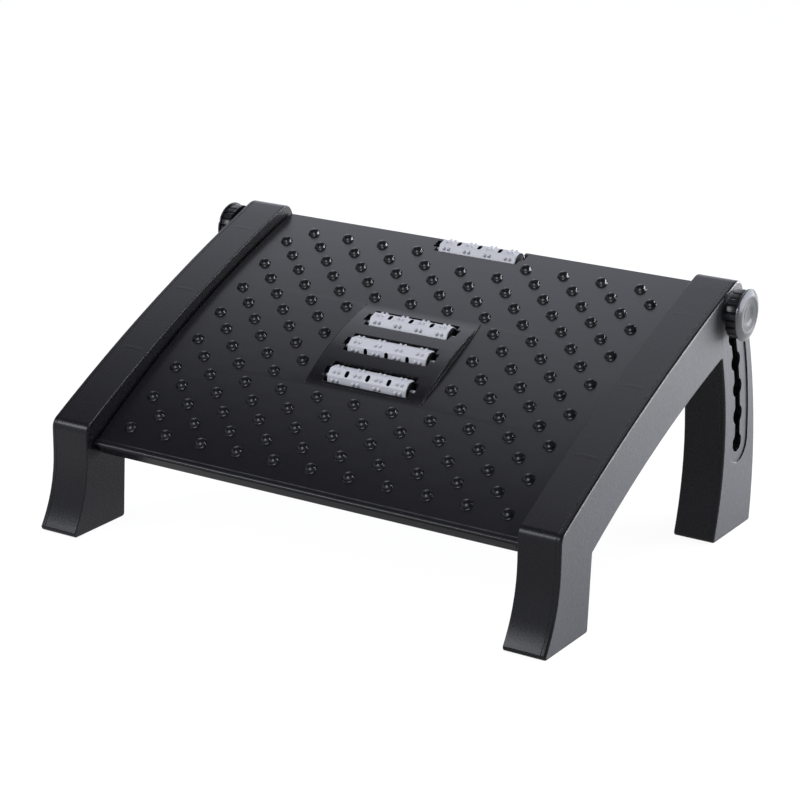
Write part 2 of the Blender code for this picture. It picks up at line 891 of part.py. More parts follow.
def make_roller(name, along, lift, slot_row):
    """A roller: a chamfered barrel with stub axles, rows of nubs, and slots in two opposite rows."""
    half = roller_half_length
    end_radius = roller_radius - roller_chamfer
    barrel = lathe([
        (-stub_half_span, stub_radius),
        (-half, stub_radius),
        (-half, end_radius),
        (roller_chamfer - half, roller_radius),
        (half - roller_chamfer, roller_radius),
        (half, end_radius),
        (half, stub_radius),
        (stub_half_span, stub_radius),
    ], Vector((0.0, 0.0)), roller_sides)
    half_facet = math.pi / roller_sides
    flat = roller_radius * math.cos(half_facet)
    nubs = []
    slots = []
    for row in range(nub_rows):
        turn = Matrix.Rotation(math.tau * row / nub_rows + half_facet, 4, "X")
        for group in range(nub_groups):
            middle = (group - (nub_groups - 1) / 2) * nub_group_pitch
            for side in (-nub_spacing / 2, nub_spacing / 2):
                nubs.append(turn @ Matrix.Translation((middle + side, 0.0, flat)))
        if row % (nub_rows // 2) == slot_row:
            for gap in range(nub_groups - 1):
                middle = (gap - (nub_groups - 2) / 2) * nub_group_pitch
                slots.append(turn @ Matrix.Translation((middle, 0.0, flat)))
    half_slot = slot_width / 2
    slot = loft([square(half_slot, slot_length / 2, z) for z in (-slot_depth, slot_depth)])
    cut(barrel, moved_copies(slot, slots))
    nub = spike(square(nub_width / 2, nub_width / 2, -nub_sink), (0.0, 0.0, nub_height))
    add(barrel, moved_copies(nub, nubs))
    barrel.data.transform(Matrix.Rotation(-half_facet, 4, "X"))
    barrel.location = Vector((0.0, *tread_point(along, lift)))
    finished(barrel, name, cool_grey)


def make_pivot_pin():
    start = boss_face - boss_length
    end = inner_face + frame_boss_length - clearance
    body = lathe([
        (start, pin_radius),
        (end - edge_chamfer, pin_radius),
        (end, pin_radius - edge_chamfer),
    ], pivot, round_sides)
    return finished(body, "pivot_pin_right", steel)


def make_clamp_bolt():
    """The bolt that the knob turns on: its hexagon head is held in the tread's block."""
    head_end = bolt_start + bolt_head_height
    end = knob_start + knob_length - collar_travel
    body = slab(hexagon(bolt_place, bolt_head_width), bolt_start, head_end)
    add(body, rod(bolt_place, bolt_radius, bolt_start + bolt_head_height / 2, end))
    return finished(body, "clamp_bolt_right", steel)


def make_collar():
    """The collar between knob and frame: its key fills a notch when the knob is done up."""
    flange_end = knob_start - clearance
    flange_start = flange_end - collar_flange
    key_start = half_span - track_depth + key_stand
    key_radius = notch_radius - key_clearance
    body = lathe([
        (key_start, bolt_hole),
        (key_start, key_radius),
        (flange_start, key_radius),
        (flange_start, collar_radius),
        (flange_end, collar_radius),
        (flange_end, bolt_hole),
    ], bolt_place, boss_sides, bored=True)
    return finished(body, "lock_collar_right", knob_black, Vector((half_span, *bolt_place)))


def fluted(centre, radius):
    """A grip's outline: broad ribs with narrow flutes between them."""
    pitch = math.tau / knob_flutes
    floor = Vector((radius - flute_depth, 0.0))
    crest = Vector((radius, 0.0))
    points = []
    for number in range(knob_flutes):
        points.append(centre + turned(floor, pitch * number))
        points.append(centre + turned(floor, pitch * (number + flute_floor_share)))
        points.append(centre + turned(crest, pitch * (number + flute_floor_share + flute_side_share)))
        points.append(centre + turned(crest, pitch * (number + 1 - flute_side_share)))
    return points


def make_knob():
    """The hollow grip: a fluted cup with a web at its back and a hub round the bolt."""
    end = knob_start + knob_length
    web = knob_start + knob_web
    beyond = end + knob_web
    cup_radius = knob_radius - knob_wall
    body = slab(fluted(bolt_place, knob_radius), knob_start, end)
    cup = lathe([
        (web, hub_radius),
        (web, cup_radius),
        (beyond, cup_radius),
        (beyond, hub_radius),
    ], bolt_place, cap_sides, bored=True)
    cut(body, cup, rod(bolt_place, bolt_hole, half_span, beyond))
    return finished(body, "knob_right", knob_black, Vector((knob_start, *bolt_place)))


def make_cap():
    """The silver cap: a crowned, dished disc with a lip that fits inside the grip."""
    start = knob_start + knob_length + clearance
    rim = start + cap_rim
    crown = rim + cap_crown
    lip_outside = knob_radius - knob_wall - clearance
    lip_inside = lip_outside - cap_lip_wall
    body = lathe([
        (start, lip_inside),
        (start - cap_lip_length, lip_inside),
        (start - cap_lip_length, lip_outside),
        (start, lip_outside),
        (start, cap_radius),
        (rim, cap_radius),
        (crown, cap_dish_radius),
        (crown - cap_dish_depth, cap_dish_radius * cap_dish_floor_share),
    ], bolt_place, cap_sides)
    return finished(body, "knob_cap_right", silver, Vector((knob_start, *bolt_place)))


def clear_scene():
    for obj in list(bpy.data.objects):
        bpy.data.objects.remove(obj)


def build():
    clear_scene()
    right_hand = [make_side_frame(), make_side_cover(), make_pivot_pin(), make_clamp_bolt()]
    right_hand += [make_collar(), make_knob(), make_cap()]
    for number, place in enumerate(screw_places(), 1):
        right_hand.append(make_cover_screw(place, f"cover_screw_{number}_right"))
    for foot, (start, end) in zip(("front", "rear"), pad_spans()):
        pad = pad_block(start, end, 0.0, pad_thickness)
        right_hand.append(finished(pad, f"pad_{foot}_right", rubber))
    for piece in right_hand:
        add_left_twin(piece)
    make_tread()
    for place in roller_places():
        make_roller(*place)


build()
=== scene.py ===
"""The looks of a tilting foot rest: finer domes, rollers and knobs, and every finish.

Metres, +Z up. X runs to the right and Y to the rear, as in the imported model.
"""
import json
import math

import bmesh
import bpy
from mathutils import Matrix, Vector


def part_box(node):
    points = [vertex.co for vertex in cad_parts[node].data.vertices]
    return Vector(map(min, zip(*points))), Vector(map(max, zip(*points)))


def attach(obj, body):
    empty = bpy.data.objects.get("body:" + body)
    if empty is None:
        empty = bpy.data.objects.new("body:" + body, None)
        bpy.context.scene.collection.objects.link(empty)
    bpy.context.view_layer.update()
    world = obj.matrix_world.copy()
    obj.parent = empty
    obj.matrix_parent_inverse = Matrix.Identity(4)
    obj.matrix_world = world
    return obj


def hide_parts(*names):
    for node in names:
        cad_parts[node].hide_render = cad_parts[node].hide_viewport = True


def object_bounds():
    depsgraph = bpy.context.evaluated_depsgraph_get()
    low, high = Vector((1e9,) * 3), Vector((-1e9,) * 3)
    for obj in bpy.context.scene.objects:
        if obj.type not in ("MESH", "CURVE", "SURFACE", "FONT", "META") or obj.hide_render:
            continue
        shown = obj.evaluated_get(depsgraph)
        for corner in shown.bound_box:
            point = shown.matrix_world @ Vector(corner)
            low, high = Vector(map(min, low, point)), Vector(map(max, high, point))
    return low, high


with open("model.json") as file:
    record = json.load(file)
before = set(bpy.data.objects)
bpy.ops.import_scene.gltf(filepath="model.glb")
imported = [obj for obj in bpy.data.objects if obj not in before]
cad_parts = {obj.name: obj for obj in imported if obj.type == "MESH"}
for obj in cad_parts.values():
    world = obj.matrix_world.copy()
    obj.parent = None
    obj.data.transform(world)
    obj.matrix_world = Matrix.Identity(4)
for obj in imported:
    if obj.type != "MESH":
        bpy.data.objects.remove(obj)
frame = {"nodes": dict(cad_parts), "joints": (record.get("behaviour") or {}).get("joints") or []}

frame_low, frame_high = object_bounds()

# Camera, fitted to the photograph: it looks along its own axes past the front of the front feet
image_size = 800
focal_pixels = 2472.0
sensor_width = 36.0
view_azimuth = math.radians(32.183)
view_elevation = math.radians(18.180)
view_roll = math.radians(0.684)
view_right = 0.09128
view_up = 0.14200
view_distance = 1.81068
view_limit = 50.0
front_of_feet = -0.16775

# Studio: the tint of its light, the tint of what the surfaces see in it, and the room's own level
studio_white = (0.94, 0.96, 1.0)
mirrored_tint = (0.95, 0.97, 1.08)
room_light = 0.55

# Wall that the surfaces see: it brightens along Y by its climb and along X by its lean, and fades
# out between its left and its right
wall_level = 1.25
wall_climb = 3.0
wall_lean = 2.2
wall_start = 1.10
wall_left = -0.40
wall_right = -0.08

# Ceiling and horizon that they see, by the height of the direction they look in
ceiling_level = 0.03
horizon_level = 0.5
horizon_top = 0.5
horizon_low = 0.1

# Floor, and how dark they see it near the camera and under the object
floor_half_size = 6.0
floor_whiteness = 0.9
floor_level = 1.05
floor_grey = 0.8
floor_heading = Vector((-math.sin(view_azimuth), math.cos(view_azimuth), 0.0))
near_end = -0.3
far_end = 0.35
near_level = 0.34
shade_level = 0.5
shade_inner = 0.15
shade_outer = 0.33

# Soft boxes: direction from the object's middle, distance, width, height and radiance
soft_boxes = {
    "right_box": ((0.68, 0.72, 0.20), 1.6, 1.8, 0.9, 13.0),
    "cap_box": ((0.68, 0.72, 0.15), 1.6, 1.8, 0.6, 2.0),
    "left_box": ((-0.5, -0.70, 0.50), 1.8, 0.8, 0.5, 8.0),
    "dome_box": ((0.327, -0.893, 0.305), 2.6, 1.7, 1.7, 3.4),
    "roller_box": ((-0.2, -0.75, 0.63), 1.8, 0.5, 0.5, 5.0),
    "edge_strip": ((0.70, 0.25, 0.70), 1.8, 1.3, 0.3, 12.0),
    "top_fill": ((-0.3, -0.3, 0.9), 2.0, 1.2, 1.2, 4.0),
}

# Tread, an arc seen from the side
tread_radius = 1.1128
tread_middle = Vector((-0.01205, 0.1446))
tread_slope = math.radians(25.73)

# Domes
dome_rows = 16
dome_counts = (10, 11)
dome_pitch = 0.01677
dome_radius = 0.0045
dome_height = 0.0044
dome_clearance = 0.0015
dome_foot_radius = 0.0051
dome_foot_height = 0.0003
dome_sink = 0.0002
dome_sides = 28
dome_rings = 7

# Rings of a dome or nub: the dip and the bend of its foot, and the gaps below and above its rings
foot_dip = 0.2
foot_bend = 0.45
first_ring_gap = 0.55
tip_gap = 0.2

# Island and windows, which the domes keep clear of
island_half_width = 0.0522
island_front = -0.0482
island_rear = 0.0496
island_height = 0.0046
edge_roller_place = 0.141
window_half_width = 0.0101

# Beads on the island's edges, partly sunk in them, and the crest of the tread's front lip
bead_radius = 0.0005
bead_sunk = bead_radius * 0.6
bead_sides = 10
bead_steps = 24
lip_place = (-0.1470, -0.0005)
lip_radius = 0.0014
lip_half_length = 0.1895
lip_sides = 20

# Rollers
roller_radius = 0.009
roller_half_length = 0.0354
roller_chamfer = 0.0005
roller_sides = 96
roller_flat_share = 0.935
roller_recess = 0.0006
roller_rim = 0.0009
stub_half_span = 0.0414
stub_radius = 0.0018
stub_round = 0.0005
nub_rows = 8
nub_groups = 4
nub_group_pitch = 0.0189
nub_spacing = 0.0041
nub_radius = 0.0015
nub_height = 0.0017
nub_foot_radius = nub_radius * 1.15
nub_foot_height = nub_height * 0.15
nub_sink = 0.0006
nub_sides = 14
nub_rings = 4
slot_width = 0.0034
slot_length = 0.0058
slot_depth = 0.005
slot_mouth = 0.0003
slot_round_steps = 8

# Each roller, which row of its nubs has the slots, and the degrees it has been left turned by
roller_turns = (
    ("front", 1, 0.0), ("middle", 2, -5.0), ("back", 0, 19.0), ("rear_edge", 0, 18.0),
)

# Wells under the rollers; the one in the rear edge is open behind
well_radius = 0.0118
well_wall = 0.0008
well_rise = 0.0035
well_span = math.pi
open_well_span = math.radians(105)
well_clearance = 0.0006
well_steps = 16

# Knobs
knob_radius = 0.0187
knob_flutes = 20
flute_points = 12
flute_depth = 0.0014
flute_share = 0.30
knob_round = 0.0007
knob_round_bend = knob_round * 0.3

# Caps: shares of the depth and radii, from the hollow behind over the rim to the dish's middle
cap_sides = 96
cap_radius = 0.020
cap_dish_radius = 0.0138
cap_hollow_radius = 0.0133
cap_lip_radius = 0.0147
cap_back = 2.0 / 5.3
cap_profile = (
    (cap_back, cap_hollow_radius),
    (0.0, cap_hollow_radius),
    (0.0, cap_lip_radius),
    (cap_back, cap_lip_radius),
    (cap_back, cap_radius - 0.0004),
    (cap_back + 0.07, cap_radius),
    (cap_back + 0.20, cap_radius),
    (cap_back + 0.30, cap_radius - 0.0006),
    (0.98, cap_dish_radius + 0.0009),
    (1.0, cap_dish_radius + 0.0004),
    (0.985, cap_dish_radius - 0.0003),
    (0.90, cap_dish_radius * 0.90),
    (0.89, cap_dish_radius * 0.80),
    (0.81, cap_dish_radius * 0.54),
    (0.72, cap_dish_radius * 0.46),
    (0.66, cap_dish_radius * 0.28),
    (0.65, cap_dish_radius * 0.08),
)

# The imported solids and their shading
screws_per_cover = 4
weld_distance = 0.000002
coplanar = math.radians(0.3)
sharp = math.radians(30)

# Plastic: its noises, how much they change tone and gloss, and its rounded and rubbed edges
plastic_index = 1.5
noise_range = (0.3, 0.7)
fine_detail = 3.0
fine_roughness = 0.6
broad_grains = 4
cloud_size = 0.03
cloud_spread = 0.03
gloss_spread = 0.04
edge_rounding = 0.0006
edge_samples = 4
edge_range = (0.995, 0.90)
wear_range = (0.35, 0.65)
wear_least = 0.4

# Faces that look along X, by how squarely they do
side_range = (0.9, 0.985)
side_grain = 0.0017
side_grain_depth = 0.00012
side_mottle = 0.2

# Silver and steel
silver_fleck = 0.00025
silver_cloud = 0.006
silver_rings = 0.0007
silver_detail = 2.0
silver_pale = 1.12
silver_deep = 0.86
silver_metal = 0.85
silver_gloss = (0.12, 0.16)
silver_ring_gloss = 0.06
silver_ring_height = 1.5
silver_relief = 0.000003

# Faint sink marks across the right rail's top; those of the left rail lie a little to the rear
mark_places = (0.0699, -0.0114, -0.0801)
left_mark_shift = 0.0112
mark_middle = 0.2065
mark_half_width = 0.0125
mark_full_share = 0.4
mark_width = 0.0011
mark_depth = 0.00005
mark_bow = 8.0

# Colour sockets of a Mix node, by number
mix_share, mix_first, mix_second = 0, 6, 7
mix_result = 2


def turned(vector, angle):
    cosine = math.cos(angle)
    sine = math.sin(angle)
    return Vector((vector.x * cosine - vector.y * sine, vector.x * sine + vector.y * cosine))


def circle(radius, sides):
    return [turned(Vector((radius, 0.0)), math.tau * step / sides) for step in range(sides)]


# Camera, floor and light


def make_camera():
    """Stands the camera where the photograph was taken from."""
    back = Vector((
        math.sin(view_azimuth) * math.cos(view_elevation),
        -math.cos(view_azimuth) * math.cos(view_elevation),
        math.sin(view_elevation),
    ))
    level_right = Vector((math.cos(view_azimuth), math.sin(view_azimuth), 0.0))
    level_up = back.cross(level_right)
    right = level_right * math.cos(view_roll) + level_up * math.sin(view_roll)
    up = level_up * math.cos(view_roll) - level_right * math.sin(view_roll)
    anchor = Vector((0.0, front_of_feet, 0.0))
    camera = bpy.data.objects.new("camera", bpy.data.cameras.new("camera"))
    camera.data.sensor_width = sensor_width
    camera.data.lens = focal_pixels / image_size * sensor_width
    camera.data.clip_end = view_limit
    turn = Matrix((right, up, back)).transposed().to_4x4()
    place = anchor + right * view_right + up * view_up + back * view_distance
    camera.matrix_world = Matrix.Translation(place) @ turn
    bpy.context.scene.collection.objects.link(camera)
    bpy.context.scene.camera = camera


def make_light(name, only=(), spared=(), mirrored=True):
    """A soft box that faces the middle of the object.

    It may light a few pieces only or spare some, and it may be left out of what the surfaces
    reflect.
    """
    direction, distance, width, height, radiance = soft_boxes[name]
    aim = (frame_low + frame_high) / 2
    light = bpy.data.lights.new(name, "AREA")
    light.color = studio_white
    light.shape = "RECTANGLE"
    light.size = width
    light.size_y = height
    light.energy = radiance * math.pi * width * height
    obj = bpy.data.objects.new(name, light)
    towards = Vector(direction).normalized()
    obj.location = aim + towards * distance
    obj.rotation_mode = "QUATERNION"
    obj.rotation_quaternion = towards.to_track_quat("Z", "Y")
    obj.visible_glossy = mirrored
    bpy.context.scene.collection.objects.link(obj)
    if only or spared:
        receivers = bpy.data.collections.new(name + "_receivers")
        for piece in (*only, *spared):
            receivers.objects.link(piece)
        for link in receivers.collection_objects[len(only):]:
            link.light_linking.link_state = "EXCLUDE"
        obj.light_linking.receiver_collection = receivers


class Nodes:
    """A node tree with short calls to add nodes and join them."""

    def __init__(self, tree):
        self.tree = tree
        tree.nodes.clear()

    def add(self, kind, inputs=None, **settings):
        node = self.tree.nodes.new(kind)
        for name, value in settings.items():
            setattr(node, name, value)
        for name, value in (inputs or {}).items():
            socket = node.inputs[name]
            if isinstance(value, bpy.types.NodeSocket):
                self.tree.links.new(value, socket)
            else:
                socket.default_value = value
        return node

    def place(self):
        """Where a point lies on its own object."""
        return self.add("ShaderNodeTexCoord").outputs["Object"]

    def split(self, vector):
        return self.add("ShaderNodeSeparateXYZ", {0: vector}).outputs

    def math(self, operation, first, second=0.0, third=0.0):
        inputs = {0: first, 1: second, 2: third}
        return self.add("ShaderNodeMath", inputs, operation=operation).outputs[0]

    def ramp(self, value, low, high, start=0.0, end=1.0):
        """Maps low to high onto start to end, and holds there."""
        inputs = {0: value, 1: low, 2: high, 3: start, 4: end}
        return self.add("ShaderNodeMapRange", inputs).outputs[0]

    def noise(self, place, grain, detail=2.0, roughness=0.5):
        """Noise from 0 to 1 whose grains are about so many metres across."""
        inputs = {"Vector": place, "Scale": 1 / grain, "Detail": detail, "Roughness": roughness}
        return self.add("ShaderNodeTexNoise", inputs).outputs["Fac"]

    def blend(self, share, *colours):
        """A colour between two, each a socket or three numbers."""
        first, second = (
            colour if isinstance(colour, bpy.types.NodeSocket) else (*colour, 1.0)
            for colour in colours
        )
        inputs = {mix_share: share, mix_first: first, mix_second: second}
        return self.add("ShaderNodeMix", inputs, data_type="RGBA").outputs[mix_result]

    def seen_mirrored(self, path):
        """Whether a ray comes from a reflection or through glass."""
        return self.math("MAXIMUM", path["Is Glossy Ray"], path["Is Transmission Ray"])


def new_material(name):
    material = bpy.data.materials.new(name)
    material.use_nodes = True
    return material, Nodes(material.node_tree)


def make_world():
    """A white room. The surfaces see one broad wall at the rear left, fading to the front."""
    world = bpy.data.worlds.new("studio")
    world.use_nodes = True
    nodes = Nodes(world.node_tree)
    towards = nodes.split(nodes.add("ShaderNodeTexCoord").outputs["Generated"])
    path = nodes.add("ShaderNodeLightPath").outputs
    lean = nodes.math("MULTIPLY_ADD", towards["X"], wall_lean, wall_start)
    climb = nodes.math("MULTIPLY_ADD", towards["Y"], wall_climb, lean)
    depth = nodes.ramp(climb, 0.0, wall_level, 0.0, wall_level)
    wall = nodes.math("MULTIPLY", depth, nodes.ramp(towards["X"], wall_right, wall_left))
    horizon = nodes.ramp(towards["Z"], horizon_top, horizon_low, ceiling_level, horizon_level)
    reflected = nodes.math("MAXIMUM", wall, horizon)
    more = nodes.math("SUBTRACT", reflected, room_light)
    lit = nodes.math("MULTIPLY_ADD", nodes.seen_mirrored(path), more, room_light)
    strength = nodes.math("MAXIMUM", path["Is Camera Ray"], lit)
    tone = nodes.blend(path["Is Camera Ray"], mirrored_tint, (1.0, 1.0, 1.0))
    background = nodes.add("ShaderNodeBackground", {"Color": tone, "Strength": strength})
    nodes.add("ShaderNodeOutputWorld", {"Surface": background.outputs[0]})
    bpy.context.scene.world = world


def make_floor():
    """A plain white floor, drawn white to the camera but for a trace of the object's shadow."""
    mesh = bpy.data.meshes.new("floor")
    half = floor_half_size
    corners = [(-half, -half, 0), (half, -half, 0), (half, half, 0), (-half, half, 0)]
    mesh.from_pydata(corners, [], [(0, 1, 2, 3)])
    floor = bpy.data.objects.new("floor", mesh)
    bpy.context.scene.collection.objects.link(floor)
    material, nodes = new_material("floor_white")
    place = nodes.place()
    ahead = nodes.add("ShaderNodeVectorMath", {0: place, 1: floor_heading}, operation="DOT_PRODUCT")
    depth = nodes.ramp(ahead.outputs["Value"], near_end, far_end, near_level, 1.0)
    reach = nodes.add("ShaderNodeVectorMath", {0: place}, operation="LENGTH").outputs["Value"]
    shade = nodes.ramp(reach, shade_inner, shade_outer, shade_level, 1.0)
    depth = nodes.math("MULTIPLY", depth, shade)
    path = nodes.add("ShaderNodeLightPath").outputs
    seen = nodes.math("MAXIMUM", path["Is Camera Ray"], nodes.seen_mirrored(path))
    white = nodes.math("MULTIPLY", path["Is Camera Ray"], floor_level)
    level = nodes.math("MAXIMUM", white, depth)
    grey = (floor_grey, floor_grey, floor_grey, 1.0)
    plain = nodes.add("ShaderNodeBsdfDiffuse", {"Color": grey})
    bright = nodes.add("ShaderNodeEmission", {"Color": (1.0, 1.0, 1.0, 1.0), "Strength": level})
    share = nodes.math("MULTIPLY", seen, floor_whiteness)
    mixed = nodes.add("ShaderNodeMixShader", {0: share, 1: plain.outputs[0], 2: bright.outputs[0]})
    nodes.add("ShaderNodeOutputMaterial", {"Surface": mixed.outputs[0]})
    mesh.materials.append(material)


# Materials


def moulded(name, colour, roughness, grain, grain_depth, fleck=0.12, wear=0.6, side=None,
            marks=False, rounding=0.0, shine=0.5):
    """Moulded plastic: a fine grain, a cloudy tone and uneven gloss.

    Its sharp edges may look softly rounded and rubbed. Faces that look along X may have a colour,
    a roughness and a coarser grain of their own, as spark-eroded moulds leave them.
    """
    material, nodes = new_material(name)
    place = nodes.place()
    fine = nodes.noise(place, grain, fine_detail, fine_roughness)
    broad = nodes.noise(place, grain * broad_grains)
    cloud = nodes.noise(place, cloud_size)
    base = colour
    gloss = roughness
    height = nodes.math("MULTIPLY", fine, grain_depth)
    tone = nodes.math("MULTIPLY_ADD", fine, 2 * fleck, 1 - fleck)
    if side:
        side_colour, side_roughness = side
        facing = nodes.split(nodes.add("ShaderNodeTexCoord").outputs["Normal"])["X"]
        outward = nodes.math("SIGN", nodes.split(place)["X"])
        sideways = nodes.ramp(nodes.math("MULTIPLY", facing, outward), *side_range)
        base = nodes.blend(sideways, colour, side_colour)
        gloss = nodes.ramp(sideways, 0.0, 1.0, roughness, side_roughness)
        coarse = nodes.math("MULTIPLY", broad, side_grain_depth)
        height = nodes.math("ADD", height, nodes.math("MULTIPLY", sideways, coarse))
        mottle = nodes.noise(place, side_grain, fine_detail, fine_roughness)
        mottle = nodes.ramp(mottle, *noise_range, 1 - side_mottle, 1 + side_mottle)
        lift = nodes.math("MULTIPLY_ADD", sideways, nodes.math("SUBTRACT", mottle, 1.0), 1.0)
        tone = nodes.math("MULTIPLY", tone, lift)
    if marks:
        height = nodes.math("ADD", height, sink_marks(nodes, place))
    clouded = nodes.ramp(cloud, *noise_range, 1 - cloud_spread, 1 + cloud_spread)
    tone = nodes.math("MULTIPLY", tone, clouded)
    relief = {"Strength": 1.0, "Distance": 1.0, "Height": height}
    if rounding:
        bevel = nodes.add("ShaderNodeBevel", {"Radius": rounding}, samples=edge_samples)
        rounded = bevel.outputs[0]
        face = nodes.add("ShaderNodeNewGeometry").outputs["Normal"]
        match = nodes.add("ShaderNodeVectorMath", {0: rounded, 1: face}, operation="DOT_PRODUCT")
        edge = nodes.ramp(match.outputs["Value"], *edge_range)
        rubbed = nodes.math("MULTIPLY", edge, nodes.ramp(broad, *wear_range, wear_least, 1.0))
        tone = nodes.math("MULTIPLY", tone, nodes.math("MULTIPLY_ADD", rubbed, wear, 1.0))
        relief["Normal"] = rounded
    toned = nodes.add("ShaderNodeVectorMath", {0: base, "Scale": tone}, operation="SCALE")
    unevenness = nodes.math("SUBTRACT", broad, 0.5)
    shader = nodes.add("ShaderNodeBsdfPrincipled", {
        "Base Color": toned.outputs[0],
        "Roughness": nodes.math("MULTIPLY_ADD", unevenness, gloss_spread, gloss),
        "IOR": plastic_index,
        "Specular IOR Level": shine,
        "Normal": nodes.add("ShaderNodeBump", relief).outputs[0],
    })
    nodes.add("ShaderNodeOutputMaterial", {"Surface": shader.outputs[0]})
    return material


def sink_marks(nodes, place):
    """Heights of the faint lines that cross the rails, where they sank over their inner walls."""
    parts = nodes.split(place)
    on_left = nodes.math("LESS_THAN", parts["X"], 0.0)
    along = nodes.math("SUBTRACT", parts["Y"], nodes.math("MULTIPLY", on_left, left_mark_shift))
    off_middle = nodes.math("SUBTRACT", nodes.math("ABSOLUTE", parts["X"]), mark_middle)
    beside = nodes.math("ABSOLUTE", off_middle)
    window = nodes.ramp(beside, mark_half_width * mark_full_share, mark_half_width, 1.0, 0.0)
    bow = nodes.math("MULTIPLY", nodes.math("POWER", off_middle, 2.0), -mark_bow)
    height = 0.0
    for mark in mark_places:
        offset = nodes.math("SUBTRACT", along, nodes.math("ADD", bow, mark))
        steps = nodes.math("DIVIDE", offset, mark_width)
        fall = nodes.math("MULTIPLY", nodes.math("POWER", steps, 2.0), -1.0)
        height = nodes.math("ADD", nodes.math("EXPONENT", fall), height)
    return nodes.math("MULTIPLY", nodes.math("MULTIPLY", height, window), mark_depth)


def brushed_silver(name, colour):
    """Bare metal or silver paint, with faint turned rings and a fine metallic fleck."""
    material, nodes = new_material(name)
    place = nodes.place()
    fleck = nodes.noise(place, silver_fleck, silver_detail)
    cloud = nodes.noise(place, silver_cloud, silver_detail)
    parts = nodes.split(place)
    squares = [nodes.math("POWER", parts[axis], 2.0) for axis in ("Y", "Z")]
    rings = nodes.add("ShaderNodeTexNoise", {
        "W": nodes.math("SQRT", nodes.math("ADD", *squares)),
        "Scale": 1 / silver_rings,
        "Detail": silver_detail,
    }, noise_dimensions="1D").outputs["Fac"]
    pale = tuple(channel * silver_pale for channel in colour)
    deep = tuple(channel * silver_deep for channel in colour)
    gloss = nodes.ramp(cloud, *noise_range, *silver_gloss)
    height = nodes.math("MULTIPLY_ADD", rings, silver_ring_height, fleck)
    relief = {"Strength": 1.0, "Distance": silver_relief, "Height": height}
    shader = nodes.add("ShaderNodeBsdfPrincipled", {
        "Base Color": nodes.blend(nodes.ramp(fleck, *noise_range), deep, pale),
        "Metallic": silver_metal,
        "Roughness": nodes.math("MULTIPLY_ADD", rings, silver_ring_gloss, gloss),
        "Normal": nodes.add("ShaderNodeBump", relief).outputs[0],
    })
    nodes.add("ShaderNodeOutputMaterial", {"Surface": shader.outputs[0]})
    return material


def make_materials():
    return {
        "frame": moulded(
            "charcoal_frame", (0.0060, 0.0058, 0.0075), roughness=0.27, grain=0.0006,
            grain_depth=0.000002, fleck=0.02, side=((0.047, 0.047, 0.052), 0.5), marks=True,
            rounding=edge_rounding, shine=0.42,
        ),
        "tread": moulded(
            "charcoal_tread", (0.0070, 0.0068, 0.0086), roughness=0.25, grain=0.0005,
            grain_depth=0.000002, fleck=0.02, rounding=edge_rounding,
        ),
        "dome": moulded(
            "polished_dome", (0.008, 0.008, 0.010), roughness=0.15, grain=0.0006,
            grain_depth=0.000001, fleck=0.02,
        ),
        "roller": moulded(
            "cool_grey_roller", (0.40, 0.405, 0.428), roughness=0.42, grain=0.0005,
            grain_depth=0.000006, fleck=0.03,
        ),
        # Painted shade: a near-black material standing in for the shadow inside the rollers' slots
        # and hollow ends
        "hollow": moulded(
            "roller_painted_shade", (0.012, 0.012, 0.013), roughness=0.8, grain=0.0005,
            grain_depth=0.00001, fleck=0.03,
        ),
        "knob": moulded(
            "black_knob", (0.010, 0.010, 0.011), roughness=0.30, grain=0.0006,
            grain_depth=0.000004,
        ),
        "cap": brushed_silver("silver_cap", (0.175, 0.178, 0.188)),
        "steel": brushed_silver("zinc_steel", (0.50, 0.50, 0.52)),
        "rubber": moulded(
            "rubber_pad", (0.02, 0.02, 0.02), roughness=0.8, grain=0.0008, grain_depth=0.00006,
            wear=0.0, rounding=edge_rounding,
        ),
    }


# Mesh building


def object_from(bm, name):
    """Turns a bmesh into an object in the scene."""
    bmesh.ops.recalc_face_normals(bm, faces=bm.faces)
    mesh = bpy.data.meshes.new(name)
    bm.to_mesh(mesh)
    bm.free()
    obj = bpy.data.objects.new(name, mesh)
    bpy.context.scene.collection.objects.link(obj)
    return obj


def new_piece(name, bm, material, body, replaced=(), smooth_below=sharp):
    """Turns a bmesh into a piece that rides on a body."""
    bmesh.ops.recalc_face_normals(bm, faces=bm.faces)
    for edge in bm.edges:
        edge.smooth = len(edge.link_faces) == 2 and edge.calc_face_angle(0.0) < smooth_below
    for face in bm.faces:
        face.smooth = True
    piece = object_from(bm, name)
    piece.data.materials.append(material)
    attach(piece, body)
    if replaced:
        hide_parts(*replaced)
    return piece


def skin(bm, loops):
    """Joins each loop of vertices to the next with quads."""
    for low, high in zip(loops, loops[1:]):
        for i in range(len(low)):
            j = (i + 1) % len(low)
            bm.faces.new((low[i], low[j], high[j], high[i]))


def add_rings(bm, rings):
    """Skins closed rings of points into one body and closes its ends."""
    loops = [[bm.verts.new(point) for point in ring] for ring in rings]
    skin(bm, loops)
    bm.faces.new(loops[0])
    bm.faces.new(loops[-1])


def outline_at(x, points):
    """Stands points of the side view up at a place along X."""
    return [Vector((x, point.x, point.y)) for point in points]


def ring_about_x(x, radius, sides, centre):
    return outline_at(x, [centre + spoke for spoke in circle(radius, sides)])


def side_middle(low, high):
    """The middle of a box in the side view."""
    return Vector(((low.y + high.y) / 2, (low.z + high.z) / 2))


def dome_profile(radius, height, foot_radius, foot_height, sink, rings):
    """Radius and height of a dome's rings from its flared foot to near its tip."""
    bend = foot_radius * foot_bend + radius * (1 - foot_bend)
    profile = [
        (foot_radius, -sink),
        (foot_radius, -foot_dip * foot_height),
        (bend, foot_height * foot_bend),
    ]
    for step in range(rings):
        angle = math.pi / 2 * (step + first_ring_gap) / (rings + tip_gap)
        profile.append((radius * math.cos(angle), height * math.sin(angle)))
    return profile


